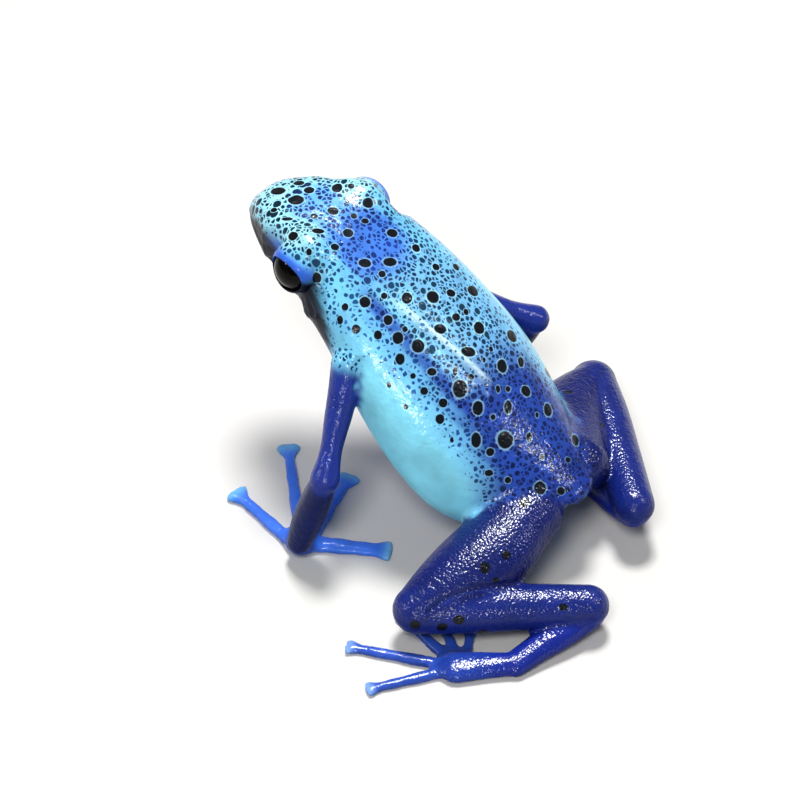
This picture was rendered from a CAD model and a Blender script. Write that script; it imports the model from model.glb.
# Blue poison dart frog sitting on flat ground: a life-size museum model, seen as in the photo.
# Lengths are millimetres in the frog's own frame: it faces -Y, its left is +X, the ground is z = 0.
# The footprint's middle is moved to the origin and everything turned to metres at the very end.

import math

import bpy
import numpy as np
from mathutils import Matrix, Vector
from mathutils.bvhtree import BVHTree


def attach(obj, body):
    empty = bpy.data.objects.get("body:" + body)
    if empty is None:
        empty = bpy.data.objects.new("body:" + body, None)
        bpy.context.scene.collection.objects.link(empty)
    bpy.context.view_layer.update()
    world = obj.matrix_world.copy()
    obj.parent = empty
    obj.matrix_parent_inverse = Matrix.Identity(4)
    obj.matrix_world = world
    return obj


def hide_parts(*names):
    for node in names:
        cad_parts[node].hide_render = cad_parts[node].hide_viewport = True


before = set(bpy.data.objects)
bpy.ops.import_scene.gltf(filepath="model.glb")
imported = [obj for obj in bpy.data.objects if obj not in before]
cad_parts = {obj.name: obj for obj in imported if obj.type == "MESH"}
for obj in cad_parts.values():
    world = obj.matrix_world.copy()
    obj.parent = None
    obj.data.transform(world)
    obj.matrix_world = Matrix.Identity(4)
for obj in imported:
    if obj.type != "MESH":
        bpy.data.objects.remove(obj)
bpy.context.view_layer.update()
print("frame loaded:", len(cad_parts), "nodes")

millimetre = 0.001
footprintMiddle = np.array([3.37, -9.94, 0.0])
sides = {"left": 1.0, "right": -1.0}
fullTurn = 2 * math.pi


# small tools

def unit(vector):
    # the same direction with length 1
    vector = np.asarray(vector, float)
    return vector / np.linalg.norm(vector)


def outwards(point, side):
    return np.array([point[0] * side, *point[1:]], float)  # sizes count x away from the body


def smoothStep(low, high, value):
    # 0 below low and 1 above high, with three squares less two cubes between
    t = np.clip((value - low) / (high - low), 0.0, 1.0)
    return t * t * (3.0 - 2.0 * t)


def curveRows(rows, spots):
    # a Catmull-Rom curve through every column: halfway between two rows it leans on the rows beyond
    rows = np.array(rows, float)
    rows = np.vstack([2 * rows[0] - rows[1], rows, 2 * rows[-1] - rows[-2]])
    start = np.clip(np.floor(spots).astype(int), 0, len(rows) - 4)
    t = (spots - start)[:, None]
    a, b, c, d = (rows[start + k] for k in range(4))
    bend = (2 * a - 5 * b + 4 * c - d) * t**2 + (3 * b - a - 3 * c + d) * t**3
    return 0.5 * (2 * b + (c - a) * t + bend)


def easeProfile(share, values, spots):
    # a cubic through the named values, with the slope at each one taken from its neighbours
    share, values = np.array(share, float), np.array(values, float)
    slope = np.gradient(values, share)
    k = np.clip(np.searchsorted(share, spots, side="right") - 1, 0, len(share) - 2)
    span = share[k + 1] - share[k]
    t = (spots - share[k]) / span
    start = (1 + 2 * t) * (1 - t) ** 2 * values[k] + t * (1 - t) ** 2 * span * slope[k]
    return start + t * t * (3 - 2 * t) * values[k + 1] + t * t * (t - 1) * span * slope[k + 1]


def closeGrid(points):
    # points[row, around] is a tube; each end is closed by triangles to the middle of its ring
    rows, around = points.shape[:2]
    index = np.arange(rows * around).reshape(rows, around)
    right = np.roll(index, -1, axis=1)
    quads = np.stack([index[:-1], right[:-1], right[1:], index[1:]], axis=-1).reshape(-1, 4)
    first, last = rows * around, rows * around + 1
    start = np.stack([right[0], index[0], np.full(around, first)], axis=-1)
    end = np.stack([index[-1], right[-1], np.full(around, last)], axis=-1)
    corners = np.vstack([points.reshape(-1, 3), points[0].mean(0), points[-1].mean(0)])
    return corners, [*quads.tolist(), *start.tolist(), *end.tolist()]


def signedVolume(corners, faces):
    # six times the volume inside a closed surface, negative where its faces point inwards
    first = np.array([f[:3] for f in faces])
    rest = np.array([[f[0], f[2], f[3]] for f in faces if len(f) == 4])
    tri = corners[np.vstack([first, rest])]
    return np.einsum("ij,ij->i", tri[:, 0], np.cross(tri[:, 1], tri[:, 2])).sum()


def joinGrids(grids):
    # several closed surfaces as one list of corners and faces, all of them pointing outwards
    corners, faces, base = [], [], 0
    for points in grids:
        more, polygons = closeGrid(points)
        if signedVolume(more, polygons) < 0:
            polygons = [f[::-1] for f in polygons]
        corners.append(more)
        faces += [[c + base for c in f] for f in polygons]
        base += len(more)
    return np.vstack(corners), faces


def makeObject(name, corners, faces):
    mesh = bpy.data.meshes.new(name)
    mesh.from_pydata(corners.tolist(), [], faces)
    mesh.update()
    made = bpy.data.objects.new(name, mesh)
    bpy.context.scene.collection.objects.link(made)
    return made


def applyModifiers(piece):
    # the shaped mesh takes the place of the plain one
    graph = bpy.context.evaluated_depsgraph_get()
    shaped = bpy.data.meshes.new_from_object(piece.evaluated_get(graph))
    piece.modifiers.clear()
    old, piece.data = piece.data, shaped
    bpy.data.meshes.remove(old)


def readPoints(mesh):
    flat = np.zeros(len(mesh.vertices) * 3)
    mesh.vertices.foreach_get("co", flat)
    return flat.reshape(-1, 3)


def readNormals(mesh):
    # the outward direction at each vertex
    flat = np.zeros(len(mesh.vertices) * 3)
    mesh.vertices.foreach_get("normal", flat)
    return flat.reshape(-1, 3)


def readEdges(mesh):
    flat = np.zeros(len(mesh.edges) * 2, np.int32)
    mesh.edges.foreach_get("vertices", flat)
    return flat.reshape(-1, 2)


def writePoints(mesh, points):
    mesh.vertices.foreach_set("co", points.ravel())
    mesh.update()


def neighbourMean(values, edges):
    # the mean of each vertex's neighbours, column by column
    count = len(values)
    both = np.concatenate([edges[:, 0], edges[:, 1]])
    other = np.concatenate([edges[:, 1], edges[:, 0]])
    degree = np.maximum(np.bincount(both, minlength=count), 1)
    columns = [np.bincount(both, values[other, k], count) / degree for k in range(values.shape[1])]
    return np.stack(columns, axis=1)


def relax(values, edges, weight, rounds):
    # each round moves every vertex by the weight towards the mean of its neighbours
    for _ in range(rounds):
        values = values + weight * (neighbourMean(values, edges) - values)
    return values


def nearestSample(points, samples):
    # index of the nearest sample for each point, worked out in blocks of whole arrays
    found, block = np.zeros(len(points), int), 1000
    points, samples = points.astype(np.float32), samples.astype(np.float32)
    square = (samples**2).sum(1)
    for start in range(0, len(points), block):
        some = points[start : start + block]
        found[start : start + block] = np.argmin(square - 2 * some @ samples.T, axis=1)
    return found


# the camera, as fitted to the photo
cameraFit = {
    "elevation": math.radians(45.84),
    "heading": math.radians(54.74),  # turned from straight behind the frog
    "pivot": (0.0, -15.0, 10.0),
    "pixelsPerMm": 10.151,
    "distance": 400.0,
    "pivotPixel": (409.26, 397.29),
    "imageSize": 800,
    "sensor": 36.0,
}


def cameraFrame():
    # the camera's right, up and look directions and its place
    turn, rise = cameraFit["heading"] + math.pi / 2, cameraFit["elevation"]
    flat = np.array([math.cos(turn), -math.sin(turn), 0.0])
    look = flat * math.cos(rise) - np.array([0.0, 0.0, math.sin(rise)])
    right = unit(np.cross(look, (0.0, 0.0, 1.0)))
    return right, np.cross(right, look), look, cameraFit["pivot"] - look * cameraFit["distance"]


def seenPlace(tree, pixel):
    # where the camera's ray through a pixel of the photo meets a surface
    right, up, look, place = cameraFrame()
    scale = cameraFit["pixelsPerMm"] * cameraFit["distance"]
    across, rise = (np.array(pixel) - cameraFit["pivotPixel"]) / scale
    return tree.ray_cast(Vector(place), Vector(unit(look + right * across - up * rise)))[0]


def makeCamera():
    # the shift of the lens puts the pivot on its pixel, and so gives the photo's framing
    right, up, look, eye = cameraFrame()
    size, sensor = cameraFit["imageSize"], cameraFit["sensor"]
    data = bpy.data.cameras.new("camera")
    data.sensor_width = sensor
    data.lens = cameraFit["pixelsPerMm"] * cameraFit["distance"] * sensor / size
    data.shift_x = (size / 2 - cameraFit["pivotPixel"][0]) / size
    data.shift_y = (cameraFit["pivotPixel"][1] - size / 2) / size
    data.clip_start, data.clip_end = 0.001, 10.0
    made = bpy.data.objects.new("camera", data)
    place = Matrix((right, up, -look)).transposed().to_4x4()
    place.translation = Vector((eye - footprintMiddle) * millimetre)
    made.matrix_world = place
    bpy.context.scene.collection.objects.link(made)
    bpy.context.scene.camera = made


makeCamera()
print("camera set")


# trunk and head, as rings from the snout to the vent
trunk = {
    # top of the back y, z; underside y, z; half width; height of the widest level as a share;
    # squareness of the upper and of the lower half
    "stations": [
        (-32.9, 27.7, -32.7, 25.6, 1.40, 0.50, 2.2, 2.2),
        (-31.9, 29.0, -31.6, 24.8, 2.60, 0.50, 2.4, 2.3),
        (-30.3, 29.8, -29.8, 23.6, 3.85, 0.50, 2.7, 2.3),
        (-27.9, 30.3, -26.8, 22.3, 5.50, 0.48, 3.0, 2.3),
        (-25.0, 30.3, -23.8, 20.8, 6.60, 0.48, 3.0, 2.3),
        (-22.2, 29.8, -20.8, 18.6, 7.30, 0.50, 2.8, 2.3),
        (-19.4, 28.6, -17.6, 14.9, 8.15, 0.52, 2.5, 2.3),
        (-16.2, 26.9, -14.3, 10.1, 9.15, 0.52, 2.3, 2.2),
        (-12.2, 24.4, -10.0, 5.8, 9.90, 0.50, 2.1, 2.2),
        (-8.0, 21.2, -5.6, 3.2, 9.80, 0.47, 2.1, 2.2),
        (-4.0, 17.6, -1.4, 2.8, 8.30, 0.45, 2.1, 2.2),
        (-0.4, 14.4, 1.4, 4.0, 6.20, 0.45, 2.1, 2.2),
        (2.6, 11.9, 3.6, 6.2, 4.00, 0.48, 2.1, 2.2),
        (4.8, 10.1, 5.2, 8.3, 2.10, 0.52, 2.1, 2.1),
    ],
    "snoutTip": (0.0, -33.3, 26.6),
    "ventTip": (0.0, 6.0, 9.1),
    "rings": 150,
    "around": 120,
    "capRings": 8,
}


def trunkSurface(spots, angles):
    # a superellipse across the back's slope at each spot: out by cos to a power, up and down by
    # sin to a power, with the power from the squareness
    rows = curveRows(trunk["stations"], np.atleast_1d(spots))[:, None, :]
    angles = np.atleast_1d(angles)[None, :]
    zero = np.zeros_like(rows[..., 0])
    top = np.stack([zero, rows[..., 0], rows[..., 1]], -1)
    bottom = np.stack([zero, rows[..., 2], rows[..., 3]], -1)
    rise = top - bottom
    tall = np.linalg.norm(rise, axis=-1)
    over = np.sin(angles) > 0
    height = np.where(over, tall * (1 - rows[..., 5]), tall * rows[..., 5])
    power = 2.0 / np.where(over, rows[..., 6], rows[..., 7])
    out = np.sign(np.cos(angles)) * np.abs(np.cos(angles)) ** power * rows[..., 4]
    up = np.sign(np.sin(angles)) * np.abs(np.sin(angles)) ** power * height
    middle = bottom + rise * rows[..., 5:6]
    points = middle + up[..., None] * rise / tall[..., None]
    points[..., 0] += out
    return points


def trunkGrid():
    # the rings from snout to vent, with each end drawn in to its tip as a quarter of a circle
    angles = np.arange(trunk["around"]) * fullTurn / trunk["around"]
    last = len(trunk["stations"]) - 1.0
    body = trunkSurface(np.linspace(0.0, last, trunk["rings"]), angles)
    turn = np.linspace(0.0, math.pi / 2, trunk["capRings"] + 1)[1:-1][:, None, None]
    snout, vent = np.array(trunk["snoutTip"]), np.array(trunk["ventTip"])
    caps = []
    for ring, tip in ((body[0], snout), (body[-1], vent)):
        middle = ring.mean(0)
        caps.append(tip + (ring - middle) * np.cos(turn) + (middle - tip) * (1 - np.sin(turn)))
    return np.concatenate([caps[0][::-1], body, caps[1]])


def ballGrid(centre, sizes, axes=None, rows=40, around=56):
    # an ellipsoid: rings by the cosine of the latitude, along the third axis by its sine
    axes = np.eye(3) if axes is None else np.array(axes)
    latitude = np.linspace(-math.pi / 2, math.pi / 2, rows + 2)[1:-1][:, None]
    angle = np.arange(around) * fullTurn / around
    out, up = np.cos(latitude), np.sin(latitude)
    ball = np.stack([out * np.cos(angle), out * np.sin(angle), up + 0 * angle], -1)
    return np.array(centre) + (ball * np.array(sizes)) @ axes


# eyes and the domes of their lids
eye = {
    "centre": (5.4, -24.25, 27.0),
    "radius": 2.25,
    "axis": (0.95, -0.22, 0.02),
    "lidCentre": (4.5, -24.2, 27.75),
    "lidSizes": (3.15, 3.5, 3.0),
    "opening": (1.95, 1.6),  # half length and half height of the gap between the lids
    "flare": 1.3,  # how much the opening widens outwards
    "clearance": 0.1,  # between the ball and its socket
    "lidThickness": 0.26,
    "rim": (0.1, 0.1),  # height of the lid's edge and its width, as a share of the opening
    "near": 2.5,  # skin farther than this from the ball belongs to the head
    "hug": (1.1, 1.75),  # how far round the opening the lid follows the ball, in openings
    # the smoothing round the lids: its reach from the eye, where it starts in openings, its
    # weight and its rounds
    "ease": ((4.0, 5.2), (1.25, 1.6), 0.6, 14),
}


def eyeAxes(side):
    # forwards, upwards and the way the eye looks
    outward = unit(eye["axis"])
    forward = unit(np.cross(outward, (0.0, 0.0, 1.0)))
    forward *= -np.sign(forward[1])
    up = np.cross(forward, outward)
    up *= np.sign(up[2])
    return np.array([forward, up, outward]) * (side, 1.0, 1.0)


# limbs, by the places of their joints and the sizes between them
arm = {
    "shoulder": {"left": (8.0, -16.3, 20.9), "right": (6.8, -16.6, 18.6)},
    "elbow": {"left": (15.0, -14.3, 11.8), "right": (14.2, -9.7, 12.4)},
    "wrist": {"left": (16.2, -16.7, 2.4), "right": (14.6, -15.2, 2.4)},
    "handTurn": {"left": 0.0, "right": math.radians(35.0)},
    # share of the length, half width, half height
    "upper": [(0, 1.8, 1.8), (0.25, 1.5, 1.55), (0.5, 1.3, 1.35), (0.76, 1.08, 1.15), (1, 1.45, 1.45)],
    "fore": [(0, 1.2, 1.2), (0.3, 1.5, 1.5), (0.65, 1.62, 1.55), (1, 1.3, 1.25)],
    "palmCentre": (14.7, -17.6, 0.85),
    "palmSizes": (2.0, 1.75, 1.05),
    "palmTurn": math.radians(38.0),
    # where each finger leaves the left palm, where it ends, half width
    "fingers": [
        ((15.2, -18.8), (13.1, -27.1), 0.60),
        ((13.5, -18.7), (4.9, -26.5), 0.58),
        ((13.4, -17.2), (4.6, -18.9), 0.58),
        ((14.1, -16.2), (10.6, -9.6), 0.84),
    ],
    "disc": (1.32, 2.0),  # half width and length of a finger's disc
    "height": (1.10, 0.78),
}
leg = {
    "hip": (4.0, 2.5, 7.8),
    "knee": {"left": (17.9, -1.4, 4.0), "right": (16.3, -3.9, 4.9)},
    "ankle": {"left": (7.5, 11.4, 3.3), "right": (4.4, 8.8, 5.4)},
    "heel": {"left": (15.9, 8.6, 0.85), "right": (8.0, 1.6, 0.85)},
    "sole": {"left": (19.3, 4.2, 0.7), "right": (11.7, -3.3, 0.7)},
    "thigh": [(0, 3.0, 3.0), (0.35, 4.1, 3.4), (0.6, 4.0, 3.3), (0.85, 3.2, 2.8), (1, 2.4, 2.35)],
    "thighBow": {"left": (0.0, 0.45, -0.15), "right": (-0.5, -2.0, -0.8)},
    "shank": [(0, 2.35, 2.35), (0.25, 2.5, 2.4), (0.6, 2.3, 2.25), (1, 2.0, 2.05)],
    "tarsus": [(0, 1.7, 1.5), (0.35, 1.7, 1.35), (0.7, 1.45, 1.1), (1, 1.35, 0.95)],
    "foot": [(0, 1.2, 0.95), (0.5, 1.45, 0.95), (1, 1.85, 0.9)],
    "tarsusDrop": 1.0,
    "footTurn": {"left": 0.0, "right": math.radians(12.0)},
    "toeRoot": 1.25,
    # angle of the root on the sole, heading, length, half width
    "toes": [
        (math.radians(-37.0), math.radians(-38.0), 7.8, 0.54),
        (math.radians(-75.0), math.radians(-69.0), 9.8, 0.58),
        (math.radians(-113.0), math.radians(-105.0), 7.6, 0.54),
        (math.radians(-151.0), math.radians(-126.0), 5.8, 0.50),
        (math.radians(-189.0), math.radians(-152.0), 4.4, 0.48),
    ],
    "disc": (0.88, 1.5),
    "height": (0.95, 0.70),
}
digit = {
    "level": 0.48,  # height of the widest line over the ground
    "rings": 64,
    "crowding": 1.6,  # power by which the rings crowd towards the tip
    "around": 36,
    "knuckles": (3, 0.06),  # how many waves of the width, and their share of it
    "opening": 1.6,  # power by which the digit opens into its disc
    "tipLength": 0.5,
    "blunt": (2.6, 0.985),  # power of the superellipse at the tip, and its last ring
    "taper": (1.14, 0.82),
    "soleDepth": 1.5,  # what lies under the widest line before the sole is cut flat
    "scutes": (0.3, 0.45, 0.28),  # how much they raise the disc, their place across it and half width
    "groove": (0.35, 0.16),  # the furrow between them: share of the height and half width
}
limb = {"rings": 40, "around": 48, "capRings": 10, "steep": 0.8}


def limbGrid(start, end, sizes, bow=(0.0, 0.0, 0.0)):
    # ellipses carried from joint to joint, bowed as a parabola, with half a ball past each joint;
    # a steep limb takes its sideways direction from the frog's front instead of from above
    start, end = np.array(start, float), np.array(end, float)
    along = unit(end - start)
    across = unit(np.cross(along, (0.0, 0.0, 1.0) if abs(along[2]) < limb["steep"] else (0.0, -1.0, 0.0)))
    up = np.cross(across, along)
    share, wide, high = np.array(sizes, float).T
    spots = np.linspace(0.0, 1.0, limb["rings"])
    wide, high = easeProfile(share, wide, spots), easeProfile(share, high, spots)
    turn = np.linspace(0.0, math.pi / 2, limb["capRings"] + 1)[1:-1]
    middle = start + np.outer(spots, end - start) + np.outer(4 * spots * (1 - spots), bow)
    low = start - np.outer(np.sin(turn[::-1]) * wide[0], along)
    far = end + np.outer(np.sin(turn) * wide[-1], along)
    shrinkLow, shrinkFar = np.cos(turn[::-1]), np.cos(turn)
    middle = np.vstack([low, middle, far])
    wide = np.concatenate([wide[0] * shrinkLow, wide, wide[-1] * shrinkFar])[:, None, None]
    high = np.concatenate([high[0] * shrinkLow, high, high[-1] * shrinkFar])[:, None, None]
    angle = (np.arange(limb["around"]) * fullTurn / limb["around"])[None, :, None]
    return middle[:, None, :] + wide * np.cos(angle) * across + high * np.sin(angle) * up


def onGround(points):
    # what would lie under the ground is pressed flat on it
    points[..., 2] = np.maximum(points[..., 2], 0.0)
    return points


def digitGrid(start, end, wide, disc, height):
    # half an ellipse over a flat sole along a straight line; the width tapers, waves at each
    # knuckle, opens by a power of a sine into the disc and closes as a blunt superellipse
    start, end = np.array([*start[:2], 0.0]), np.array([*end[:2], 0.0])
    length = np.linalg.norm(end - start)
    along = unit(end - start)
    across = np.array([along[1], -along[0], 0.0])
    share = 1.0 - (1.0 - np.linspace(0.0, 1.0, digit["rings"])) ** digit["crowding"]
    fan = np.clip(1.0 - length * (1.0 - share) / disc[1], 0.0, 1.0)
    power, lastRing = digit["blunt"]
    tip = np.clip(1.0 - length * (1.0 - share) / digit["tipLength"], 0.0, lastRing)
    first, last = digit["taper"]
    waves, swell = digit["knuckles"]
    half = wide * (first + (last - first) * share) * (1.0 + swell * np.cos(share * waves * fullTurn))
    half = half + (disc[0] - half) * np.sin(fan * math.pi / 2) ** digit["opening"]
    tall = height[0] + (height[1] - height[0]) * share
    closing = (1.0 - tip**power) ** (1 / power)
    half, tall = half * closing, digit["level"] + (tall - digit["level"]) * closing
    angle = np.arange(digit["around"]) * fullTurn / digit["around"]
    # two low scutes side by side on the disc, as two bells with a furrow between them
    lift, place, spread = digit["scutes"]
    furrow, narrow = digit["groove"]
    across01 = np.abs(np.cos(angle))
    scutes = lift * np.exp(-(((across01 - place) / spread) ** 2))
    scutes = scutes - furrow * np.exp(-((across01 / narrow) ** 2))
    crown = (tall[:, None] - digit["level"]) * (1 + scutes * np.sin(fan * math.pi / 2)[:, None])
    rise = np.where(np.sin(angle) > 0, crown, digit["soleDepth"] * digit["level"] * closing[:, None])
    points = start + along * (length * share)[:, None, None] + np.zeros((1, digit["around"], 1))
    points = points + half[:, None, None] * np.cos(angle)[None, :, None] * across
    points[..., 2] = digit["level"] + rise * np.sin(angle)
    return onGround(points)


def onHand(point, name):
    # where a place beside the left wrist lies on this hand
    turn = arm["handTurn"][name]
    x, y = np.subtract(point[:2], arm["wrist"]["left"][:2])
    moved = (x * math.cos(turn) - y * math.sin(turn), x * math.sin(turn) + y * math.cos(turn))
    flat = np.add(arm["wrist"][name][:2], moved)
    return outwards((*flat, point[2] if len(point) > 2 else 0.0), sides[name])


def palmGrid(name):
    # an ellipsoid turned with the hand
    turn, side = arm["palmTurn"] + arm["handTurn"][name], sides[name]
    axes = [
        (math.cos(turn) * side, math.sin(turn), 0.0),
        (-math.sin(turn) * side, math.cos(turn), 0.0),
        (0.0, 0.0, 1.0),
    ]
    return onGround(ballGrid(onHand(arm["palmCentre"], name), arm["palmSizes"], axes))


def jointPlaces(table, joints, name):
    return [outwards(table[joint][name], sides[name]) for joint in joints]


def bodyParts():
    # every part of the flesh as (kind, side, grid)
    parts = [("trunk", "both", trunkGrid())]
    for name, side in sides.items():
        parts.append(("lid", name, ballGrid(outwards(eye["lidCentre"], side), eye["lidSizes"])))
        shoulder, elbow, wrist = jointPlaces(arm, ("shoulder", "elbow", "wrist"), name)
        parts.append(("upperArm", name, limbGrid(shoulder, elbow, arm["upper"])))
        parts.append(("foreArm", name, limbGrid(elbow, wrist, arm["fore"])))
        parts.append(("palm", name, palmGrid(name)))
        for root, tip, wide in arm["fingers"]:
            grid = digitGrid(onHand(root, name), onHand(tip, name), wide, arm["disc"], arm["height"])
            parts.append(("finger", name, grid))
        hip, bow = outwards(leg["hip"], side), outwards(leg["thighBow"][name], side)
        knee, ankle, heel, sole = jointPlaces(leg, ("knee", "ankle", "heel", "sole"), name)
        parts.append(("thigh", name, limbGrid(hip, knee, leg["thigh"], bow)))
        parts.append(("shank", name, limbGrid(knee, ankle, leg["shank"])))
        low = ankle - (0.0, 0.0, leg["tarsusDrop"])
        parts.append(("tarsus", name, onGround(limbGrid(low, heel, leg["tarsus"]))))
        parts.append(("foot", name, onGround(limbGrid(heel, sole, leg["foot"]))))
        for place, heading, length, wide in leg["toes"]:
            place, heading = place + leg["footTurn"][name], heading + leg["footTurn"][name]
            root = sole + np.array([math.cos(place) * side, math.sin(place), 0.0]) * leg["toeRoot"]
            tip = root + np.array([math.cos(heading) * side, math.sin(heading), 0.0]) * length
            parts.append(("toe", name, digitGrid(root, tip, wide, leg["disc"], leg["height"])))
    return parts


# one skin over all the flesh
skin = {
    "voxel": 0.25,  # the remesh step, about two and a half pixels of the photo
    "fairing": (12, 0.5, -0.53),  # rounds of smoothing that keep the volume, step in, step out
    "core": 0.7,  # share of a joint's reach that is smoothed in full
    "crease": (0.004, 0.8, 9, 2.2),  # least depth of a crease, and how its mask is widened
    "blending": (0.7, 70),  # weight and rounds
    "lidBlend": (0.8, 1.2),  # strength and reach round the domes of the lids
}
# joints where one part runs into the next without a fold: place per side, reach, strength
blends = [
    ("shoulder", arm["shoulder"], 2.3, 0.5),
    ("elbow", arm["elbow"], 2.2, 0.12),
    ("wrist", arm["wrist"], 3.6, 0.9),
    ("hip", {"left": (6.5, 0.5, 9.0), "right": (6.5, 0.0, 9.5)}, 5.0, 0.5),
    ("ankle", leg["ankle"], 2.6, 0.5),
    ("heel", leg["heel"], 2.2, 0.8),
    ("sole", leg["sole"], 2.8, 0.8),
]


def fairShape(points, edges):
    # a pair of steps, one inwards and one slightly longer outwards, so nothing shrinks
    rounds, inwards, back = skin["fairing"]
    for _ in range(rounds):
        points = relax(points, edges, inwards, 1)
        points = relax(points, edges, back, 1)
    return points


def hollowShare(points, normals, edges):
    # how far the neighbours' mean stands out along the normal: positive in a crease
    return np.einsum("ij,ij->i", neighbourMean(points, edges) - points, normals)


def blendJoints(mesh):
    # creases near a joint are smoothed until they round off; elsewhere they stay
    points, edges = readPoints(mesh), readEdges(mesh)
    reach = np.zeros(len(points))
    for _, places, radius, strength in blends:
        for name, side in sides.items():
            away = np.linalg.norm(points - outwards(places[name], side), axis=1)
            share = 1 - smoothStep(skin["core"] * radius, radius, away)
            reach = np.maximum(reach, strength * share)
    strength, width = skin["lidBlend"]
    lids = np.ones(len(points))
    for side in sides.values():
        away = np.linalg.norm(points - outwards(eye["lidCentre"], side), axis=1)
        lids = np.minimum(lids, np.abs(away - eye["lidSizes"][0]) / width)
    reach = np.maximum(reach, strength * np.clip(1 - lids, 0, 1))
    least, spread, rounds, gain = skin["crease"]
    crease = (hollowShare(points, readNormals(mesh), edges) > least).astype(float)[:, None]
    crease = np.clip(relax(crease, edges, spread, rounds) * gain, 0, 1)
    weight, rounds = skin["blending"]
    writePoints(mesh, relax(points, edges, weight * crease * reach[:, None], rounds))


def makeSkin(parts):
    # the parts are joined by a fine remesh, faired, and rounded off at the joints
    corners, faces = joinGrids([grid for _, _, grid in parts])
    made = makeObject("frog_skin", corners, faces)
    step = made.modifiers.new("remesh", "REMESH")
    step.mode = "VOXEL"
    step.voxel_size = skin["voxel"]
    applyModifiers(made)
    mesh = made.data
    writePoints(mesh, fairShape(readPoints(mesh), readEdges(mesh)))
    blendJoints(mesh)
    print("skin:", len(mesh.vertices), "vertices", len(mesh.polygons), "faces")
    return made


parts = bodyParts()
skinPiece = makeSkin(parts)


# relief on the skin
relief = {
    "ridge": (0.36, 0.4),  # height and half width of the fold along the spine
    "ridgeFrom": (3.0, -14.6),  # x, y where it starts and ends: the spine bends with the pose
    "ridgeTo": (0.9, -5.3),
    "ridgeFade": ((-0.15, 0.2), (0.95, 1.08)),  # where it comes and goes, as shares of its run
    "facingUp": (0.2, 0.6),  # the least and the full rise of the skin's normal for back relief
    "hump": (0.4, 1.2),  # where the back bends over the hips
    "humpPlace": (1.9, -4.5, 18.0),
    "lip": (0.17, 0.55),  # height and half width of the fold over the mouth
    "lipAbove": math.radians(8.0),
    "fold": (0.3, 0.3),  # depth and half width of a fold where a limb leaves the body
    "foldPixels": [
        [(359, 361), (358, 374), (356, 392)],  # behind the left arm
        [(430, 611), (444, 601), (460, 594), (479, 588), (505, 585)],  # in the pit of the left knee
    ],
    "foldPoints": 60,
    "earDish": (0.2, (0.6, 1.0)),  # depth, and its edge in radii of the drum
    "earRim": (0.16, 1.12, 0.2),  # height, place and half width in radii of the drum
    "soleLevel": 0.05,  # what the relief leaves lower than this lies on the ground
}


def ridgeShare(points, normals):
    # 1 along the spine's fold, a bell across it, fading at both ends
    start, end = np.array(relief["ridgeFrom"]), np.array(relief["ridgeTo"])
    along = unit(end - start)
    flat = points[:, :2] - start
    share = flat @ along / np.linalg.norm(end - start)
    off = flat @ np.array([along[1], -along[0]])
    comes, goes = relief["ridgeFade"]
    run = smoothStep(*comes, share) * (1 - smoothStep(*goes, share))
    return np.exp(-((off / relief["ridge"][1]) ** 2)) * run * smoothStep(*relief["facingUp"], normals[:, 2])


def foldPaths(piece):
    # the folds' own lines on the skin, as the photo shows them
    tree = BVHTree.FromObject(piece, bpy.context.evaluated_depsgraph_get())
    for pixels in relief["foldPixels"]:
        places = np.array([seenPlace(tree, pixel) for pixel in pixels])
        yield curveRows(places, np.linspace(0.0, len(places) - 1.0, relief["foldPoints"]))


def bellAlong(points, line, size):
    # a swelling by the distance to a line or to one place: its height times a bell of its width
    line = np.atleast_2d(line)
    away = np.linalg.norm(points - line[nearestSample(points, line)], axis=1)
    return size[0] * np.exp(-((away / size[1]) ** 2))


def addRelief(piece):
    # every swelling and furrow is added up, and the skin moved by the sum along its normals
    mesh = piece.data
    points, normals = readPoints(mesh), readNormals(mesh)
    lift = relief["ridge"][0] * ridgeShare(points, normals)
    hump = bellAlong(points, relief["humpPlace"], relief["hump"])
    lift = lift + hump * smoothStep(*relief["facingUp"], normals[:, 2])
    for path in foldPaths(piece):
        lift = lift - bellAlong(points, path, relief["fold"])
    lift = lift + bellAlong(points, mouthPath(relief["lipAbove"]), relief["lip"])
    # the eardrum is a shallow dish in a raised ring
    height, place, width = relief["earRim"]
    depth, edge = relief["earDish"]
    for side in sides.values():
        away = np.linalg.norm(points - surfaceFrame(cuts["ear"], side)[0], axis=1) / cuts["earRadius"]
        lift = lift + height * np.exp(-(((away - place) / width) ** 2))
        lift = lift - depth * (1 - smoothStep(*edge, away))
    points = points + normals * lift[:, None]
    points[:, 2] = np.where(points[:, 2] < relief["soleLevel"], 0.0, points[:, 2])
    writePoints(mesh, points)


def roundOpening(points, side):
    # where points lie round the opening of the lids: offset and distance from the eye's centre,
    # turn as 1 at the opening's edge and 9 behind the eye, and how far above its middle
    away = points - outwards(eye["centre"], side)
    reach = np.linalg.norm(away, axis=1)
    local = away @ eyeAxes(side).T / np.maximum(reach, 0.1)[:, None]
    sizes = np.array(eye["opening"]) / eye["radius"]
    turn = np.hypot(local[:, 0] / sizes[0], local[:, 1] / sizes[1])
    return away, reach, np.where(local[:, 2] > 0, turn, 9.0), local[:, 1]


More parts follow.
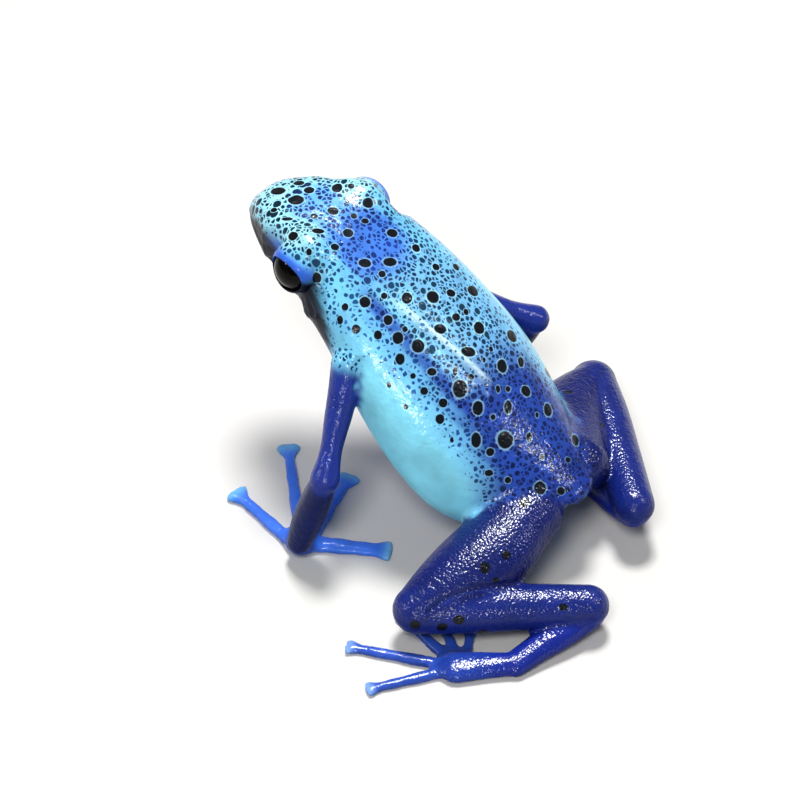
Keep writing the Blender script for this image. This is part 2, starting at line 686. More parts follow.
def fitLids(mesh):
    # round the opening the skin lies a lid's thickness off the ball, with a raised edge; further
    # out it eases back to the head
    points = readPoints(mesh)
    for side in sides.values():
        away, reach, turn, _ = roundOpening(points, side)
        near = (reach < eye["radius"] + eye["near"]) & (turn < eye["hug"][1])
        height, width = eye["rim"]
        rim = height * np.exp(-(((turn - 1.0 - width) / width) ** 2))
        target = eye["radius"] + eye["lidThickness"] + rim
        share = (1 - smoothStep(*eye["hug"], turn)) * near
        points = points + away / np.maximum(reach, 0.1)[:, None] * ((target - reach) * share)[:, None]
        far, start, weight, rounds = eye["ease"]
        reach = np.linalg.norm(points - outwards(eye["centre"], side), axis=1)
        around = (1 - smoothStep(*far, reach)) * smoothStep(*start, turn)
        points = relax(points, readEdges(mesh), weight * around[:, None], rounds)
    writePoints(mesh, points)


# the mouth and the nostrils, which are cut, and the eardrums
cuts = {
    "mouthFront": (0.0, -33.1, 26.25),
    "mouthStart": math.radians(-14.0),  # its angle at the first station
    "mouthCorner": (4.7, math.radians(-27.0)),  # station and angle
    "mouthRadius": 0.19,
    "mouthThinning": (0.25, 0.25),  # share of the radius at the corners, and power on the way there
    "mouthSoftening": (0.5, 6),  # weight and rounds along its line
    "mouthPoints": 90,
    "mouthAround": 12,
    "nostril": (0.85, math.radians(28.0)),
    "nostrilSizes": (0.30, 0.20, 0.26),
    "nostrilGrid": (12, 20),
    "ear": (5.05, math.radians(2.0)),
    "earRadius": 0.95,
}


def coneGrid(start, end, axes, sizes, rows=6, around=64):
    # ellipses that widen in a straight line from one end to the other
    share = np.linspace(0.0, 1.0, rows)[:, None, None]
    wide = sizes[0][0] + (sizes[1][0] - sizes[0][0]) * share
    high = sizes[0][1] + (sizes[1][1] - sizes[0][1]) * share
    angle = (np.arange(around) * fullTurn / around)[None, :, None]
    middle = start + (np.array(end) - start) * share
    return middle + wide * np.cos(angle) * axes[0] + high * np.sin(angle) * axes[1]


def surfaceFrame(place, side):
    # a point of the head with the directions backwards, upwards and outwards there
    spot, angle = place
    step = 0.05
    here, above = trunkSurface(np.array([spot]), np.array([angle, angle + step]))[0]
    behind = trunkSurface(np.array([spot + step]), np.array([angle]))[0, 0]
    back = unit(behind - here)
    outward = unit(np.cross(above - here, back))
    outward *= np.sign(outward[0])
    axes = np.array([back, np.cross(outward, back), outward]) * (side, 1.0, 1.0)
    return outwards(here, side), axes


def mouthPath(above):
    # the line of the mouth on the head, dropping evenly from the snout to its corner; above lifts
    # it by an angle
    last, drop = cuts["mouthCorner"]
    spots = np.linspace(0.0, last, cuts["mouthPoints"])
    every = trunkSurface(spots, cuts["mouthStart"] + (drop - cuts["mouthStart"]) * spots / last + above)
    side = every[np.arange(len(spots)), np.arange(len(spots))]
    path = np.vstack([side[::-1], [cuts["mouthFront"]], side * (-1, 1, 1)])
    steps = np.stack([np.arange(len(path) - 1), np.arange(1, len(path))], 1)
    return relax(path, steps, *cuts["mouthSoftening"])


def mouthGrid(piece):
    # a thin tube along the line of the mouth on the finished skin, thinner towards both corners
    tree = BVHTree.FromObject(piece, bpy.context.evaluated_depsgraph_get())
    path = np.array([tree.find_nearest(Vector(point))[0] for point in mouthPath(0.0)])
    run = np.gradient(path, axis=0)
    across = np.cross(run, (0.0, 0.0, 1.0))
    across /= np.linalg.norm(across, axis=1)[:, None]
    up = np.cross(across, run)
    up /= np.linalg.norm(up, axis=1)[:, None]
    angle = (np.arange(cuts["mouthAround"]) * fullTurn / cuts["mouthAround"])[None, :, None]
    thin, power = cuts["mouthThinning"]
    ends = np.sin(np.linspace(0, math.pi, len(path))) ** power
    size = (cuts["mouthRadius"] * (thin + (1 - thin) * ends))[:, None, None]
    ring = np.cos(angle) * across[:, None, :] + np.sin(angle) * up[:, None, :]
    return path[:, None, :] + size * ring


def cutSkin(piece):
    # closed cutters in three lots, as two that overlap can't be taken away in one go
    lots = {"mouth": [mouthGrid(piece)], "sockets": [], "openings": []}
    for side in sides.values():
        axes, centre = eyeAxes(side), outwards(eye["centre"], side)
        outer = centre + axes[2] * 2 * eye["radius"]
        wide = (eye["opening"], np.multiply(eye["opening"], eye["flare"]))
        lots["sockets"].append(ballGrid(centre, [eye["radius"] + eye["clearance"]] * 3, axes))
        lots["openings"].append(coneGrid(centre, outer, axes, wide))
        place, axes = surfaceFrame(cuts["nostril"], side)
        lots["sockets"].append(ballGrid(place, cuts["nostrilSizes"], axes, *cuts["nostrilGrid"]))
    for name, grids in lots.items():
        cutter = makeObject("cutter_" + name, *joinGrids(grids))
        step = piece.modifiers.new(name, "BOOLEAN")
        step.object = cutter
        step.operation = "DIFFERENCE"
        step.solver = "MANIFOLD"
        applyModifiers(piece)
        bpy.data.objects.remove(cutter)
    piece.data.materials.clear()
    piece.data.polygons.foreach_set("material_index", np.zeros(len(piece.data.polygons), np.int32))
    print("cuts made:", len(piece.data.vertices), "vertices")


fitLids(skinPiece.data)
addRelief(skinPiece)
cutSkin(skinPiece)


def makeEye(name, side):
    ball = ballGrid(outwards(eye["centre"], side), [eye["radius"]] * 3, eyeAxes(side))
    return makeObject("eyeball_" + name, *joinGrids([ball]))


eyePieces = {name: makeEye(name, side) for name, side in sides.items()}
print("eyes made:", ", ".join(eyePieces))


def linear(code):
    # an sRGB hex value turned to the linear numbers that the shader takes
    parts = np.array([int(code[k : k + 2], 16) for k in (1, 3, 5)]) / 255
    return np.where(parts <= 0.04045, parts / 12.92, ((parts + 0.055) / 1.055) ** 2.4)


# each look: ground colour, colour of the fine specks, how many fine and middling specks, grain
looks = {
    "back": ("#72B8E8", "#0E3458", 0.98, 0.88, 0.3),
    "snoutTop": ("#98D8EE", "#03202F", 1.0, 1.0, 0.2),
    "lid": ("#9CDCEE", "#062A3C", 1.0, 0.9, 0.15),
    "crown": ("#5C9FE4", "#0C2866", 1.0, 0.8, 0.2),
    "nape": ("#3E74D0", "#102A70", 1.0, 0.7, 0.25),
    "neck": ("#70C0E6", "#103E60", 0.95, 0.9, 0.2),
    "shoulders": ("#72BCE6", "#0E3A58", 0.98, 0.9, 0.25),
    "flank": ("#82D8F0", "#3B8BC6", 0.1, 0.0, 0.15),
    "flankEdge": ("#76C6EE", "#174C86", 0.75, 0.3, 0.2),
    "band": ("#2448AA", "#07154A", 1.0, 0.8, 0.35),
    "farBack": ("#72B4E4", "#0E344A", 1.0, 0.9, 0.3),
    "rump": ("#2244A0", "#091A52", 1.0, 0.75, 0.4),
    "vent": ("#1A348A", "#081446", 0.95, 0.55, 0.5),
    "ridgeLine": ("#D6F4FC", "#3A86B8", 0.4, 0.1, 0.5),
    "belly": ("#4A93DC", "#1E4FA0", 0.3, 0.2, 0.5),
    "face": ("#070D20", "#020409", 0.4, 0.2, 0.1),
    "browEdge": ("#2F63CF", "#12307C", 0.3, 0.1, 0.1),
    "throat": ("#2C5CB4", "#0B1F55", 0.6, 0.5, 0.3),
    "upperArm": ("#1D3088", "#0D1856", 0.3, 0.1, 0.8),
    "foreArm": ("#0C1852", "#050C30", 0.3, 0.1, 0.5),
    "palm": ("#2F5CCB", "#15308A", 0.1, 0.0, 0.5),
    "finger": ("#3D74E8", "#1F46B0", 0.1, 0.0, 0.4),
    "fingerDisc": ("#6AB2E8", "#2E6CC0", 0.0, 0.0, 0.15),
    "thigh": ("#0D195E", "#060B34", 0.5, 0.2, 1.3),
    "shank": ("#122270", "#081044", 0.4, 0.2, 1.2),
    "tarsus": ("#122484", "#0A1450", 0.2, 0.1, 0.9),
    "foot": ("#1D3A98", "#0E2268", 0.15, 0.0, 0.8),
    "toe": ("#2C4EB2", "#162F84", 0.1, 0.0, 0.4),
    "toeDisc": ("#7CA5EC", "#3C66B8", 0.0, 0.0, 0.15),
}
# patches on the trunk: look, station, angle, reach in stations, reach in degrees, sides, softness
# of the edge; angle 0 is the flank, 90 the spine, -90 the belly; "both" mirrors it to the right
trunkPatches = [
    ("shoulders", 7.0, 90, 1.8, 60, "both", 0.5),
    ("farBack", 8.6, 112, 2.2, 34, "left", 0.5),
    ("neck", 5.9, 42, 1.7, 30, "both", 0.5),
    ("snoutTop", 0.9, 90, 2.9, 95, "left", 0.4),
    ("crown", 4.5, 90, 1.7, 24, "left", 0.6),
    ("nape", 5.9, 90, 1.1, 24, "left", 0.7),
    ("band", 8.1, 60, 1.5, 9, "left", 0.7),
    ("band", 9.9, 50, 1.8, 20, "left", 0.6),
    ("rump", 11.6, 90, 2.2, 112, "left", 0.6),
    ("vent", 13.6, 90, 1.6, 200, "left", 0.6),
    ("flankEdge", 8.2, 24, 2.3, 34, "both", 0.6),
    ("flank", 8.35, 3, 1.95, 36, "both", 0.4),
    ("belly", 8.8, -80, 4.8, 42, "both", 0.5),
    ("throat", 3.6, -75, 4.2, 45, "both", 0.5),
    ("face", 0.6, -10, 2.6, 26, "both", 0.25),
    ("face", 3.0, -8, 2.6, 33, "both", 0.25),
    ("face", 5.1, 4, 1.0, 20, "both", 0.4),
]
lidPatch = {"centre": (4.2, -24.6, 30.2), "reach": 2.4, "edge": (0.6, 1.1)}  # on top of each lid
# the bare edge of the lids: where it starts and ends in openings, and the height that parts its
# upper from its lower half
lidEdge = {"from": (0.8, 0.95), "to": (1.12, 1.32), "upper": (-0.15, 0.25), "reach": 1.5}
# limbs: kind, look at the root, look at the tip, share of the length where they change over
limbLooks = {
    "upperArm": ("neck", "upperArm", 0.16, 0.24),
    "foreArm": ("foreArm", "palm", 0.86, 1.0),
    "palm": ("palm", "palm", 0.0, 1.0),
    "finger": ("finger", "fingerDisc", 0.68, 0.86),
    "thigh": ("thigh", "shank", 0.75, 1.0),
    "shank": ("shank", "shank", 0.0, 1.0),
    "tarsus": ("tarsus", "tarsus", 0.0, 1.0),
    "foot": ("tarsus", "foot", 0.2, 0.8),
    "toe": ("toe", "toeDisc", 0.72, 0.88),
}


def lookRow(name):
    # a look as one row: three numbers for the ground, three for the specks, then the shares
    ground, specks, *rest = looks[name]
    return np.concatenate([linear(ground), linear(specks), rest])


def paintTrunk(station, angle, points):
    # each patch is laid over the last, as an ellipse in stations and degrees with a soft edge
    paint = np.tile(lookRow("back"), (len(points), 1))
    for name, spot, turn, reach, spread, which, soft in trunkPatches:
        weight = np.zeros(len(points))
        for centre in [turn] if which == "left" else [turn, 180.0 - turn]:
            off = (angle - centre + 180.0) % 360.0 - 180.0
            away = np.hypot((station - spot) / reach, off / spread)
            weight = np.maximum(weight, 1 - smoothStep(1.0 - soft / 2, 1.0 + soft / 2, away))
        paint += weight[:, None] * (lookRow(name) - paint)
    for side in sides.values():
        away = np.linalg.norm(points - outwards(lidPatch["centre"], side), axis=1) / lidPatch["reach"]
        paint += (1 - smoothStep(*lidPatch["edge"], away))[:, None] * (lookRow("lid") - paint)
    return paint


def paintSamples(parts):
    # places over every part with the paint of each
    places, paints = [], []
    angles = np.degrees(np.arange(trunk["around"]) * fullTurn / trunk["around"])
    cap = (np.arange(trunk["capRings"] - 1) + 1.0) / trunk["capRings"]
    last = len(trunk["stations"]) - 1.0
    spots = np.concatenate([-cap[::-1], np.linspace(0.0, last, trunk["rings"]), last + cap])
    station, angle = np.meshgrid(spots[::2], angles[::3], indexing="ij")
    body = parts[0][2][::2, ::3].reshape(-1, 3)
    places.append(body)
    paints.append(paintTrunk(station.ravel(), angle.ravel(), body))
    for kind, _, grid in parts[1:]:
        row, column = (1, 2) if kind == "upperArm" else (2, 4)
        some = grid[::row, ::column].reshape(-1, 3)
        if kind == "lid":
            near = nearestSample(some, body)
            paints.append(paintTrunk(station.ravel()[near], angle.ravel()[near], some))
        else:
            root, tip, low, high = limbLooks[kind]
            share = np.repeat(np.linspace(0.0, 1.0, grid.shape[0])[::row], len(grid[0, ::column]))
            weight = smoothStep(low, high, share)[:, None]
            paints.append(lookRow(root) * (1 - weight) + lookRow(tip) * weight)
        places.append(some)
    return np.vstack(places), np.vstack(paints)


# black spots
blackSpots = {
    "seed": 11,
    "depth": 1.5,  # how far a spot reaches along the view, in its own half sizes
    "gap": 0.55,  # least clear skin between two spots that the photo doesn't show
    "tries": 2600,
    "trunkSize": (0.36, 0.78),  # half sizes of the spots on the unseen trunk
    "limbSize": (0.28, 0.5),
    "sizePower": 1.6,  # above 1 there are more small spots than large ones
    "darkest": 0.25,  # no spot shows on ground darker than this, its red, green and blue added up
    "limbGrain": 0.7,  # skin with a grain above this is a limb's
    "limbShare": 0.8,  # a limb takes a place only where its random number is above this
    "lowest": 1.3,  # least height over the ground
    "under": -0.75,  # least rise of the normal
    "eyeGap": 1.2,
    "farthest": 4.0,  # the distance stored where no spot is near
    "sparse": (0.15, 2.4),  # where the normal rises less than this, the gap is so many times wider
}
# black spots read off the photo by eye: pixel x, y, width, height
spotPixels = [
    (278, 191, 16, 9), (299, 183, 11, 6), (296, 200, 16, 11), (309, 190, 11, 8), (337, 188, 11, 11),
    (351, 186, 7, 6), (368, 203, 11, 11), (348, 201, 6, 6), (333, 211, 11, 9), (314, 216, 8, 6),
    (354, 216, 7, 6), (365, 221, 8, 6), (318, 231, 13, 6), (348, 233, 11, 9), (392, 233, 12, 9),
    (293, 236, 11, 9), (287, 219, 13, 4), (274, 210, 8, 5), (335, 247, 9, 7), (416, 248, 9, 9),
    (365, 263, 13, 9), (390, 262, 15, 9), (382, 274, 8, 7), (317, 278, 9, 12), (281, 242, 4, 4),
    (309, 252, 6, 7), (436, 267, 8, 8), (456, 267, 8, 8), (407, 298, 11, 12), (433, 297, 13, 13),
    (451, 293, 10, 8), (473, 291, 13, 12), (384, 296, 7, 7), (365, 302, 11, 11), (345, 307, 7, 8),
    (340, 320, 6, 9), (388, 320, 9, 10), (356, 329, 9, 9), (378, 335, 8, 9), (398, 338, 11, 12),
    (405, 329, 6, 6), (418, 346, 13, 13), (400, 359, 9, 11), (456, 317, 9, 8), (466, 312, 6, 7),
    (440, 329, 14, 10), (479, 328, 12, 13), (512, 336, 13, 13), (468, 352, 16, 10), (502, 366, 11, 14),
    (521, 362, 7, 11), (491, 349, 5, 6), (484, 360, 4, 6), (537, 341, 7, 10), (548, 373, 10, 13),
    (432, 372, 10, 8), (413, 376, 6, 6), (455, 371, 5, 9), (471, 377, 7, 6), (424, 391, 8, 8),
    (443, 403, 9, 9), (460, 389, 15, 18), (440, 419, 9, 10), (478, 408, 11, 14), (508, 407, 8, 14),
    (526, 391, 11, 11), (498, 389, 5, 8), (508, 389, 6, 6), (548, 410, 9, 14), (537, 415, 4, 6),
    (493, 417, 6, 6), (389, 385, 5, 6), (406, 407, 5, 6), (452, 440, 4, 6), (476, 440, 10, 15),
    (505, 440, 16, 17), (490, 452, 9, 8), (529, 437, 6, 10), (575, 440, 8, 13), (542, 457, 5, 7),
    (568, 460, 6, 6), (489, 473, 9, 7), (508, 480, 7, 7), (540, 488, 12, 13), (561, 491, 8, 8),
    (524, 503, 12, 8), (506, 555, 9, 9), (485, 568, 10, 12), (496, 580, 7, 6), (459, 620, 11, 10),
    (442, 627, 11, 9), (415, 625, 11, 10), (483, 632, 10, 6), (563, 607, 10, 7), (569, 392, 8, 4),
    (602, 425, 8, 5),
]


def seenSpots(piece):
    # each pixel's ray from the camera is followed to the skin
    tree = BVHTree.FromObject(piece, bpy.context.evaluated_depsgraph_get())
    found = []
    for x, y, wide, high in spotPixels:
        hit = seenPlace(tree, (x, y))
        if hit is not None:
            half = np.array([wide, high]) / 2 / cameraFit["pixelsPerMm"]
            found.append([*hit, *half, half.max() * blackSpots["depth"]])
    return np.array(found)


def unseenSpots(points, normals, paint, seen):
    # seeded places on the sides that the photo doesn't show, kept a clear gap apart
    generator = np.random.default_rng(blackSpots["seed"])
    look = cameraFrame()[2]
    order = generator.permutation(len(points))[: blackSpots["tries"]]
    size = generator.random(len(order))
    steep, wider = blackSpots["sparse"]
    chosen = []
    taken = np.array([[*row[:3], row[3:5].max()] for row in seen])
    for k, share in zip(order, size):
        rise = normals[k, 2]
        onLimb = paint[k, 8] > blackSpots["limbGrain"]
        if -normals[k] @ look > 0.0 or points[k, 2] < blackSpots["lowest"] or rise < blackSpots["under"]:
            continue
        if share < blackSpots["limbShare"] if onLimb else paint[k, 0:3].sum() < blackSpots["darkest"]:
            continue
        atEye = min(np.linalg.norm(points[k] - outwards(eye["centre"], side)) for side in sides.values())
        if atEye < eye["radius"] + blackSpots["eyeGap"]:
            continue
        low, high = blackSpots["limbSize"] if onLimb else blackSpots["trunkSize"]
        half = low + (high - low) * share ** blackSpots["sizePower"]
        away = np.linalg.norm(taken[:, :3] - points[k], axis=1) - taken[:, 3]
        if away.min() < half + blackSpots["gap"] * (wider if rise < steep else 1.0):
            continue
        taken = np.vstack([taken, [*points[k], half]])
        chosen.append([*points[k], half, half, half])
    return np.array(chosen)


def spotDistance(points, every):
    # distance to the nearest spot in that spot's own half sizes: 1 at its edge
    right, up, look, _ = cameraFrame()
    axes = np.array([right, up, look])
    nearest = np.full(len(points), blackSpots["farthest"])
    for row in every:
        off = (points - row[:3]) @ axes.T / row[3:]
        nearest = np.minimum(nearest, np.linalg.norm(off, axis=1))
    return nearest


def setAttribute(mesh, name, values):
    # one number for each vertex, or a colour where there are three
    if values.ndim == 2:
        values = np.hstack([values, np.ones((len(values), 1))])
    made = mesh.attributes.new(name, "FLOAT_COLOR" if values.ndim == 2 else "FLOAT", "POINT")
    made.data.foreach_set("color" if values.ndim == 2 else "value", values.astype(np.float32).ravel())


painting = {
    "softening": (0.6, 3),  # weight and rounds, so that no edge of a sample shows
    "ridgeLine": 0.7,  # how far the pale line covers the fold of the spine
    "film": (0.06, (-0.05, 0.6)),  # least wetness, and the normal's rise over which it grows to 1
}


def paintSkin(piece, parts):
    # each vertex takes the paint of the nearest sample; the line of the spine, the lids' edges
    # and the spots are laid over it
    mesh = piece.data
    points, normals, edges = readPoints(mesh), readNormals(mesh), readEdges(mesh)
    places, paints = paintSamples(parts)
    print("paint samples:", len(places))
    paint = relax(paints[nearestSample(points, places)], edges, *painting["softening"])
    ridge = painting["ridgeLine"] * ridgeShare(points, normals)
    paint = paint + ridge[:, None] * (lookRow("ridgeLine") - paint)
    for side in sides.values():
        _, reach, turn, rise = roundOpening(points, side)
        edge = smoothStep(*lidEdge["from"], turn) * (1 - smoothStep(*lidEdge["to"], turn))
        edge = edge * (reach < eye["radius"] + lidEdge["reach"])
        upper = smoothStep(*lidEdge["upper"], rise)
        for name, weight in (("browEdge", edge * upper), ("face", edge * (1 - upper))):
            paint = paint + weight[:, None] * (lookRow(name) - paint)
    seen = seenSpots(piece)
    unseen = unseenSpots(points, normals, paint, seen)
    print("spots:", len(seen), "seen and", len(unseen), "unseen")
    least, rising = painting["film"]
    setAttribute(mesh, "groundTone", paint[:, 0:3])
    setAttribute(mesh, "speckTone", paint[:, 3:6])
    setAttribute(mesh, "fineSpecks", paint[:, 6])
    setAttribute(mesh, "middleSpecks", paint[:, 7])
    setAttribute(mesh, "grain", paint[:, 8])
    setAttribute(mesh, "film", least + (1 - least) * smoothStep(*rising, normals[:, 2]))
    setAttribute(mesh, "spotDistance", spotDistance(points, np.vstack([seen, unseen])))


paintSkin(skinPiece, parts)


def addNode(tree, kind, links=None, **settings):
    # one shader node with its settings; links gives a socket a value, another node's output, or
    # a node, which stands for its first output
    node = tree.nodes.new("ShaderNode" + kind)
    for name, value in settings.items():
        setattr(node, name, value)
    for socket, value in (links or {}).items():
        source = value.outputs[0] if isinstance(value, bpy.types.Node) else value
        if isinstance(source, bpy.types.NodeSocket):
            tree.links.new(source, node.inputs[socket])
        else:
            node.inputs[socket].default_value = source
    return node


def newMaterial(name, sockets):
    # one shader with its fixed settings, joined to the output
    made = bpy.data.materials.new(name)
    made.use_nodes = True
    tree = made.node_tree
    tree.nodes.clear()
    shader = addNode(tree, "BsdfPrincipled", sockets)
    addNode(tree, "OutputMaterial", {"Surface": shader})
    return made, tree, shader


moistSkin = {
    "fine": (0.52, 0.22, 0.05, 0.17),  # mm between specks, mm of bend, half the wall in cells
    "fineEdge": (-0.04, 0.05),
    "fineDepth": (0.55, 1.7),  # the specks' tone runs from darker to lighter than their look's
    "corner": 0.55,  # radius in cells where a fine speck's corners are cut round
    "middle": (1.15, 0.4, 0.24, 0.44),  # mm between specks, mm of bend, radius in cells
    "middleEdge": (-0.02, 0.04),
    "besideMiddle": (-0.06, -0.12),  # where the fine specks begin again beside a middling one
    "bendCells": 1.1,  # grain of the bend, in cells
    "ragged": (0.7, 0.36),  # mm, and share of a spot, by which the edges of the spots wander
    # edges round a black spot, in its own half sizes: the black itself, the pale rim round it and
    # the start of the specks
    "blackEdge": (1.07, 0.93),
    "rimEdge": (1.34, 1.08),
    "clearEdge": (1.05, 1.22),
    "rimShown": ((0.3, 0.9), 0.5),  # between these shares of middling specks it comes up to this
    "rim": "#B9F0FA",
    "black": "#04080F",
    "cloud": (3.2, (0.3, 0.7), (0.84, 1.14)),  # mm across; how far the ground's tone wanders
    # mm between glands: drawn a little coarser than life, or they would be finer than a pixel
    "grainCell": 0.27,
    "domes": -0.4,  # height of a gland's dome, against 1 for the waves
    "waves": 0.8,  # mm across
    "bump": (0.7, 0.14),  # strength, and height in mm
    "film": 0.7,  # weight of the clear coat where the mucus lies thickest
    "sockets": {
        "Roughness": 0.34,
        "IOR": 1.3,
        "Specular IOR Level": 0.14,
        "Specular Tint": (0.5, 0.68, 1.0, 1.0),
        "Coat Roughness": 0.19,
        "Coat IOR": 1.5,
    },
}


def between(ends, low=0.0, high=1.0):
    # settings of a Map Range: low at the first end, high at the second and straight between
    return {"From Min": ends[0], "From Max": ends[1], "To Min": low, "To Max": high}


def bentGrid(tree, place, cell, bend):
    # object coordinates bent by a little noise, so that no speck is a true circle
    scale = 1 / (moistSkin["bendCells"] * cell * millimetre)
    noise = addNode(tree, "TexNoise", {"Vector": place, "Scale": scale, "Detail": 2.0})
    off = addNode(tree, "VectorMath", {0: noise.outputs["Color"], 1: (0.5, 0.5, 0.5)}, operation="SUBTRACT")
    off = addNode(tree, "VectorMath", {0: off, "Scale": bend * millimetre}, operation="SCALE")
    bent = addNode(tree, "VectorMath", {0: place, 1: off}, operation="ADD")
    return {"Vector": bent, "Scale": 1 / (cell * millimetre)}


def middleSpecks(tree, place, share):
    # round specks, by the distance from each cell's own point; the second mask is clear skin
    # round them
    cell, bend, least, widest = moistSkin["middle"]
    cells = addNode(tree, "TexVoronoi", bentGrid(tree, place, cell, bend))
    pick = addNode(tree, "SeparateColor", {"Color": cells.outputs["Color"]})
    size = addNode(tree, "MapRange", {"Value": pick, "To Min": least, "To Max": widest})
    size = addNode(tree, "Math", {0: size, 1: share}, operation="MULTIPLY")
    inside = addNode(tree, "Math", {0: size, 1: cells}, operation="SUBTRACT")
    speck = addNode(tree, "MapRange", {"Value": inside, **between(moistSkin["middleEdge"])})
    return speck, addNode(tree, "MapRange", {"Value": inside, **between(moistSkin["besideMiddle"])})


def fineSpecks(tree, place, share):
    # the middle of each cell, so that a pale network is left between the specks; the second
    # result is how dark each speck is
    cell, bend, least, widest = moistSkin["fine"]
    grid = bentGrid(tree, place, cell, bend)
    walls = addNode(tree, "TexVoronoi", grid, feature="DISTANCE_TO_EDGE")
    cells = addNode(tree, "TexVoronoi", grid)
    pick = addNode(tree, "SeparateColor", {"Color": cells.outputs["Color"]})
    wall = addNode(tree, "MapRange", {"Value": pick, "To Min": least, "To Max": widest})
    bare = addNode(tree, "Math", {0: share, 1: -0.5, 2: 0.5}, operation="MULTIPLY_ADD")
    wall = addNode(tree, "Math", {0: wall, 1: bare}, operation="ADD")
    inside = addNode(tree, "Math", {0: walls, 1: wall}, operation="SUBTRACT")
    corner = addNode(tree, "Math", {0: moistSkin["corner"], 1: cells}, operation="SUBTRACT")
    inside = addNode(tree, "Math", {0: inside, 1: corner}, operation="MINIMUM")
    speck = addNode(tree, "MapRange", {"Value": inside, **between(moistSkin["fineEdge"])})
    darkest, palest = moistSkin["fineDepth"]
    return speck, addNode(tree, "MapRange", {"Value": pick.outputs[1], "To Min": darkest, "To Max": palest})


def spotMasks(tree, place, spot, onBack):
    # a black spot with a ragged edge, its pale rim, which shows on the back, and where the specks
    # start again
    size, wander = moistSkin["ragged"]
    ragged = addNode(tree, "TexNoise", {"Vector": place, "Scale": 1 / (size * millimetre), "Detail": 2.0})
    ragged = addNode(tree, "Math", {0: ragged, 1: wander, 2: -wander / 2}, operation="MULTIPLY_ADD")
    away = addNode(tree, "Math", {0: spot, 1: ragged}, operation="ADD")
    black, rim, clear = (
        addNode(tree, "MapRange", {"Value": away, **between(moistSkin[edge])})
        for edge in ("blackEdge", "rimEdge", "clearEdge")
    )
    ends, most = moistSkin["rimShown"]
    shown = addNode(tree, "MapRange", {"Value": onBack, **between(ends, 0.0, most)})
    return black, addNode(tree, "Math", {0: rim, 1: shown}, operation="MULTIPLY"), clear


def skinBump(tree, place, grain):
    # the domes of the glands, by the square of the distance from each one's middle, over soft waves
    grid = {"Vector": place, "Scale": 1 / (moistSkin["grainCell"] * millimetre)}
    domes = addNode(tree, "Math", {0: addNode(tree, "TexVoronoi", grid), 1: 2.0}, operation="POWER")
    domes = addNode(tree, "Math", {0: domes, 1: grain}, operation="MULTIPLY")
    grid = {"Vector": place, "Scale": 1 / (moistSkin["waves"] * millimetre), "Detail": 3.0}
    waves = addNode(tree, "TexNoise", grid)
    high = addNode(tree, "Math", {0: domes, 1: moistSkin["domes"], 2: waves}, operation="MULTIPLY_ADD")
    strength, height = moistSkin["bump"]
    return addNode(tree, "Bump", {"Height": high, "Strength": strength, "Distance": height * millimetre})


def makeMoistSkin():
    # Frog skin: thin, smooth and wet. A clear film of mucus gives it small sharp glints over a
    # softer sheen, and the glands under it a fine grain, coarsest on the legs.
    made, tree, shader = newMaterial("moist_frog_skin", moistSkin["sockets"])
    names = ("groundTone", "speckTone", "fineSpecks", "middleSpecks", "grain", "spotDistance", "film")
    painted = {name: addNode(tree, "Attribute", attribute_name=name) for name in names}
    share = {name: painted[name].outputs["Fac"] for name in names[2:]}
    place = addNode(tree, "TexCoord").outputs["Object"]
    middle, beside = middleSpecks(tree, place, share["middleSpecks"])
    fine, depth = fineSpecks(tree, place, share["fineSpecks"])
    fine = addNode(tree, "Math", {0: fine, 1: beside}, operation="MULTIPLY")
    black, rim, clear = spotMasks(tree, place, share["spotDistance"], share["middleSpecks"])
    speckTone = painted["speckTone"].outputs["Color"]
    fineTone = addNode(tree, "VectorMath", {0: speckTone, "Scale": depth}, operation="SCALE")

    # slow changes of the ground from place to place, then each marking over the last
    size, ends, tones = moistSkin["cloud"]
    cloud = addNode(tree, "TexNoise", {"Vector": place, "Scale": 1 / (size * millimetre), "Detail": 3.0})
    cloud = addNode(tree, "MapRange", {"Value": cloud, **between(ends, *tones)})
    ground = {0: painted["groundTone"].outputs["Color"], "Scale": cloud}
    colour = addNode(tree, "VectorMath", ground, operation="SCALE").outputs[0]
    fine, middle = (
        addNode(tree, "Math", {0: mask, 1: clear}, operation="MULTIPLY") for mask in (fine, middle)
    )
    rimTone, blackTone = ((*linear(moistSkin[name]), 1.0) for name in ("rim", "black"))
    for mask, tone in ((rim, rimTone), (fine, fineTone), (middle, speckTone), (black, blackTone)):
        colour = addNode(tree, "Mix", {0: mask, 6: colour, 7: tone}, data_type="RGBA").outputs[2]
    tree.links.new(colour, shader.inputs["Base Color"])

    bump = skinBump(tree, place, share["grain"])
    for socket in ("Normal", "Coat Normal"):
        tree.links.new(bump.outputs[0], shader.inputs[socket])
    wet = addNode(tree, "Math", {0: share["film"], 1: moistSkin["film"]}, operation="MULTIPLY")
    tree.links.new(wet.outputs[0], shader.inputs["Coat Weight"])
    return made


darkEye = {
    "tones": ("#020203", "#1B120C"),  # pupil and iris
    "fleck": (0.5, (0.45, 0.75)),  # mm across, and where the noise turns from pupil to iris
    "sockets": {"Roughness": 0.07, "IOR": 1.34, "Specular IOR Level": 0.16},
}


def makeDarkEye():
    # A clear cornea over a dark brown iris: nearly black, with one hard bright glint.
    made, tree, shader = newMaterial("frog_cornea", darkEye["sockets"])
    place = addNode(tree, "TexCoord").outputs["Object"]
    size, ends = darkEye["fleck"]
    fleck = addNode(tree, "TexNoise", {"Vector": place, "Scale": 1 / (size * millimetre), "Detail": 3.0})
    fleck = addNode(tree, "MapRange", {"Value": fleck, **between(ends)})
    pupil, iris = ((*linear(tone), 1.0) for tone in darkEye["tones"])
    colour = addNode(tree, "Mix", {0: fleck, 6: pupil, 7: iris}, data_type="RGBA").outputs[2]
    tree.links.new(colour, shader.inputs["Base Color"])
    return made


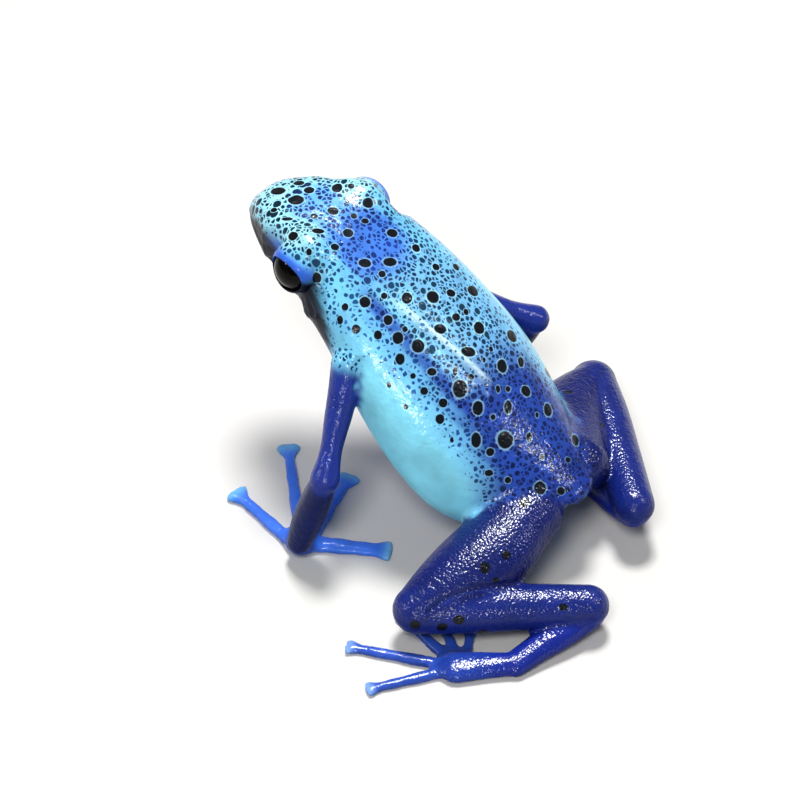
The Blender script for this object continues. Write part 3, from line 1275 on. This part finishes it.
paleBoard = {
    "radius": 900.0,
    "thickness": 2.0,
    "around": 64,
    "tones": ("#CFCDC9", "#D4D2CE"),
    "mottle": 40.0,  # mm across
    "sockets": {"Roughness": 0.85},
}


def makePaleBoard():
    # Matt painted board: even and pale, so that it only takes the frog's shadow.
    made, tree, shader = newMaterial("matt_board", paleBoard["sockets"])
    place = addNode(tree, "TexCoord").outputs["Object"]
    grid = {"Vector": place, "Scale": 1 / (paleBoard["mottle"] * millimetre), "Detail": 2.0}
    mottle = addNode(tree, "TexNoise", grid)
    first, second = ((*linear(tone), 1.0) for tone in paleBoard["tones"])
    colour = addNode(tree, "Mix", {0: mottle, 6: first, 7: second}, data_type="RGBA").outputs[2]
    tree.links.new(colour, shader.inputs["Base Color"])
    return made


def makeFloor():
    # a thin round board with its top on the ground
    low, sizes = -paleBoard["thickness"], (paleBoard["radius"], paleBoard["radius"])
    axes, around = np.eye(3)[:2], paleBoard["around"]
    board = coneGrid((0.0, 0.0, low), (0.0, 0.0, 0.0), axes, (sizes, sizes), 2, around)
    made = makeObject("floor", *joinGrids([board]))
    made.data.materials.append(makePaleBoard())
    writePoints(made.data, readPoints(made.data) * millimetre)


skinPiece.data.materials.append(makeMoistSkin())
eyeMaterial = makeDarkEye()
for piece in eyePieces.values():
    piece.data.materials.append(eyeMaterial)
print("materials made for the skin and the eyes")


def toFrame(piece):
    # millimetres of the frog's own frame to metres about the footprint's middle
    points = (readPoints(piece.data) - footprintMiddle) * millimetre
    writePoints(piece.data, points)
    piece.data.polygons.foreach_set("use_smooth", np.ones(len(piece.data.polygons), bool))
    piece.data.update()


fleshNodes = [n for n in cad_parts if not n.startswith("eye_")]
toFrame(skinPiece)
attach(skinPiece, "root")
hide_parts(*fleshNodes)
for name, piece in eyePieces.items():
    toFrame(piece)
    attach(piece, "root")
    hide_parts("eye_" + name)

makeFloor()
print("pieces placed on the floor")

lighting = {
    "world": ("#F4F6FA", 0.2),
    # place and width in metres, power in watts, and what the lamp gives. The key and the top lamp
    # light the frog; the small ones only add glints along the spine, the lid, the arm and thighs.
    "lamps": {
        "key": ((0.30, 0.12, 0.48), 0.18, 1.7, "light"),
        "top": ((-0.10, -0.06, 0.45), 0.11, 2.3, "both"),
        "spine": ((-0.20, 0.38, 0.38), 0.05, 0.8, "glints"),
        "side": ((0.36, -0.34, 0.30), 0.06, 0.7, "glints"),
        "arm": ((0.38, 0.23, 0.25), 0.05, 0.75, "glints"),
        "thighs": ((-0.13, -0.09, 0.44), 0.15, 2.6, "glints"),
    },
}


def areaLight(name, place, size, power, gives):
    # a round soft box that faces the frog
    data = bpy.data.lights.new(name, "AREA")
    data.shape = "DISK"
    data.size = size
    data.energy = power
    made = bpy.data.objects.new(name, data)
    made.location = place
    made.rotation_euler = (-Vector(place)).to_track_quat("-Z", "Y").to_euler()
    made.visible_glossy = gives != "light"
    made.visible_diffuse = gives != "glints"
    bpy.context.scene.collection.objects.link(made)


def makeWorld(colour, strength):
    made = bpy.data.worlds.new("studio")
    made.use_nodes = True
    sockets = made.node_tree.nodes["Background"].inputs
    sockets["Color"].default_value = (*linear(colour), 1.0)
    sockets["Strength"].default_value = strength
    bpy.context.scene.world = made


for name, settings in lighting["lamps"].items():
    areaLight(name, *settings)
makeWorld(*lighting["world"])
bpy.context.scene.view_settings.view_transform = "Standard"
print("lamps:", ", ".join(lighting["lamps"]))

print("scene ready")
